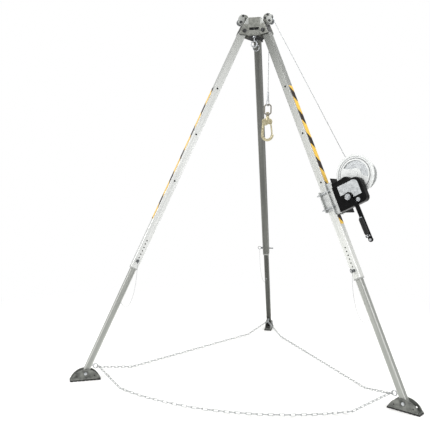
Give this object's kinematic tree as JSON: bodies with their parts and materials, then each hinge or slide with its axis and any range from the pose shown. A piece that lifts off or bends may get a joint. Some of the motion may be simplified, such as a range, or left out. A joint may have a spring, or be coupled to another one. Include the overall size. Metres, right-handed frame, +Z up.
{
  "type": "rescue tripod with hand winch",
  "caption": "Folding rescue tripod with telescoping square legs, hinged shoes joined by a ground chain, a pulley head, and a hand winch whose cable carries a swivel snap hook.",
  "frame": {"origin": "on the floor, under the middle of the bounding box", "axes": "+Z up; the rear leg points along +Y, and the winch leg toward +X and -Y"},
  "size_m": [2.2066, 2.1626, 2.512],
  "materials": {
    "extruded_aluminium": "satin extruded",
    "cast_aluminium": "fine sand cast",
    "dark_fastener": "black oxide",
    "zinc_steel": "bright zinc",
    "pulley_steel": "turned",
    "hazard_tape": "printed film",
    "black_plastic": "moulded",
    "shoe_steel": "grey paint",
    "sole_rubber": "ribbed",
    "chain_zinc": "zinc plated links",
    "cable_steel": "stranded",
    "black_enamel": "semi-gloss enamel",
    "bare_plate": "brushed, unprinted",
    "drum_silver": "silver paint",
    "yellow_zinc": "yellow chromate zinc"
  },
  "bodies": {
    "head": {"head_casting": "cast_aluminium", "head_bolts": "dark_fastener", "eyebolt_front": "zinc_steel", "eyebolt_rear": "zinc_steel", "pulley_guards": "zinc_steel", "lift_cable": "cable_steel"},
    "pulley_left": {"pulley_left": "pulley_steel"},
    "pulley_right": {"pulley_right": "pulley_steel"},
    "leg_rear": {"outer_tube_rear": "extruded_aluminium", "tape_rear": "hazard_tape", "leg_caps_rear": "black_plastic", "chain_run_rear": "chain_zinc"},
    "slide_rear": {"inner_tube_rear": "extruded_aluminium", "leg_fittings_rear": "zinc_steel", "chain_end_rear": "chain_zinc"},
    "pin_rear": {"lock_pin_rear": "zinc_steel", "pin_tether_rear": "cable_steel"},
    "shoe_rear": {"shoe_rear": "shoe_steel", "sole_rear": "sole_rubber"},
    "leg_left": {"outer_tube_left": "extruded_aluminium", "tape_left": "hazard_tape", "leg_caps_left": "black_plastic", "chain_run_left": "chain_zinc"},
    "slide_left": {"inner_tube_left": "extruded_aluminium", "leg_fittings_left": "zinc_steel", "chain_end_left": "chain_zinc"},
    "pin_left": {"lock_pin_left": "zinc_steel", "pin_tether_left": "cable_steel"},
    "shoe_left": {"shoe_left": "shoe_steel", "sole_left": "sole_rubber"},
    "leg_right": {"outer_tube_right": "extruded_aluminium", "tape_right": "hazard_tape", "leg_caps_right": "black_plastic", "chain_run_right": "chain_zinc", "winch_bracket": "zinc_steel", "winch_bolts": "zinc_steel", "winch_gearbox": "black_enamel", "winch_label": "bare_plate", "winch_bosses": "zinc_steel", "winch_cable": "cable_steel"},
    "slide_right": {"inner_tube_right": "extruded_aluminium", "leg_fittings_right": "zinc_steel", "chain_end_right": "chain_zinc"},
    "pin_right": {"lock_pin_right": "zinc_steel", "pin_tether_right": "cable_steel"},
    "shoe_right": {"shoe_right": "shoe_steel", "sole_right": "sole_rubber"},
    "drum": {"winch_drum": "drum_silver", "drum_gear": "pulley_steel", "drum_cable": "cable_steel"},
    "crank": {"crank": "black_enamel", "crank_nut": "zinc_steel"},
    "grip_axle": {"grip_axle": "zinc_steel"},
    "grip": {"crank_grip": "black_plastic"},
    "hook_line": {"cable_eye": "zinc_steel", "hook_bail": "yellow_zinc"},
    "hook": {"hook_body": "yellow_zinc"},
    "gate": {"hook_gate": "zinc_steel"}
  },
  "joints": [
    {"name": "fold_left", "type": "hinge", "parent": "head", "child": "leg_left", "pos_m": [-0.08371, -0.22305, 2.37705], "axis": [0.5, -0.866, 0], "range_deg": [0, 21], "deforming": ["chain_run_left"]},
    {"name": "fold_right", "type": "hinge", "parent": "head", "child": "leg_right", "pos_m": [0.08371, -0.22305, 2.37705], "axis": [0.5, 0.866, 0], "range_deg": [0, 21], "deforming": ["chain_run_right", "winch_cable"]},
    {"name": "fold_rear", "type": "hinge", "parent": "head", "child": "leg_rear", "pos_m": [0, -0.07806, 2.37705], "axis": [-1, 0, 0], "range_deg": [0, 21], "deforming": ["chain_run_rear"]},
    {"name": "telescope_left", "type": "slide", "parent": "leg_left", "child": "slide_left", "axis": [0.3591, 0.2073, 0.91], "range_m": [0, 0.15], "deforming": ["chain_end_left"]},
    {"name": "pin_pull_left", "type": "slide", "parent": "slide_left", "child": "pin_left", "axis": [0.5, -0.866, 0], "range_m": [0, 0.09], "deforming": ["pin_tether_left"]},
    {"name": "ankle_left", "type": "hinge", "parent": "slide_left", "child": "shoe_left", "pos_m": [-1.00292, -0.75376, 0.048], "axis": [0.5, -0.866, 0], "range_deg": [-20, 20]},
    {"name": "telescope_right", "type": "slide", "parent": "leg_right", "child": "slide_right", "axis": [-0.3591, 0.2073, 0.91], "range_m": [0, 0.15], "deforming": ["chain_end_right"]},
    {"name": "pin_pull_right", "type": "slide", "parent": "slide_right", "child": "pin_right", "axis": [-0.5, -0.866, 0], "range_m": [0, 0.09], "deforming": ["pin_tether_right"]},
    {"name": "ankle_right", "type": "hinge", "parent": "slide_right", "child": "shoe_right", "pos_m": [1.00292, -0.75376, 0.048], "axis": [0.5, 0.866, 0], "range_deg": [-20, 20]},
    {"name": "telescope_rear", "type": "slide", "parent": "leg_rear", "child": "slide_rear", "axis": [0, -0.4147, 0.91], "range_m": [0, 0.15], "deforming": ["chain_end_rear"]},
    {"name": "pin_pull_rear", "type": "slide", "parent": "slide_rear", "child": "pin_rear", "axis": [-1, 0, 0], "range_m": [0, 0.09], "deforming": ["pin_tether_rear"]},
    {"name": "ankle_rear", "type": "hinge", "parent": "slide_rear", "child": "shoe_rear", "pos_m": [0, 0.98335, 0.048], "axis": [-1, 0, 0], "range_deg": [-20, 20]},
    {"name": "pulley_left_spin", "type": "hinge", "parent": "head", "child": "pulley_left", "pos_m": [-0.1129, -0.18217, 2.456], "axis": [0.5, -0.866, 0], "continuous": true},
    {"name": "drum_spin", "type": "hinge", "parent": "leg_right", "child": "drum", "pos_m": [0.71371, -0.58678, 1.36676], "axis": [-0.5, -0.866, 0], "range_deg": [0, 330]},
    {"name": "crank_turn", "type": "hinge", "parent": "leg_right", "child": "crank", "pos_m": [0.70752, -0.58321, 1.23053], "axis": [-0.5, -0.866, 0], "range_deg": [-1680, 0]},
    {"name": "pulley_right_spin", "type": "hinge", "parent": "head", "child": "pulley_right", "pos_m": [0.1129, -0.18217, 2.456], "axis": [0.5, 0.866, 0], "range_deg": [0, 790]},
    {"name": "hook_lift", "type": "slide", "parent": "head", "child": "hook_line", "axis": [0, 0, 1], "range_m": [0, 0.25], "deforming": ["lift_cable"]},
    {"name": "grip_fold", "type": "hinge", "parent": "crank", "child": "grip_axle", "pos_m": [0.77011, -0.76322, 1.00445], "axis": [0.7817, -0.4513, 0.4303], "range_deg": [0, 90]},
    {"name": "grip_spin", "type": "hinge", "parent": "grip_axle", "child": "grip", "pos_m": [0.74775, -0.75031, 1.05861], "axis": [-0.3727, 0.2152, 0.9027], "continuous": true},
    {"name": "hook_swivel", "type": "hinge", "parent": "hook_line", "child": "hook", "pos_m": [0.09731, -0.17317, 1.8077], "axis": [0, 0, 1], "range_deg": [-180, 180]},
    {"name": "gate_open", "type": "hinge", "parent": "hook", "child": "gate", "pos_m": [0.12131, -0.17317, 1.7457], "axis": [0, 1, 0], "range_deg": [0, 22], "stiffness_Nm_per_rad": 0.2, "springref_deg": -8.59}
  ],
  "couplings": [
    {"joint": "fold_right", "follows": "fold_left", "ratio": 1},
    {"joint": "fold_rear", "follows": "fold_left", "ratio": 1},
    {"joint": "crank_turn", "follows": "drum_spin", "ratio": -5.0667},
    {"joint": "pulley_right_spin", "follows": "drum_spin", "ratio": 2.3639},
    {"joint": "hook_lift", "follows": "drum_spin", "m_per_rad": 0.04255}
  ]
}
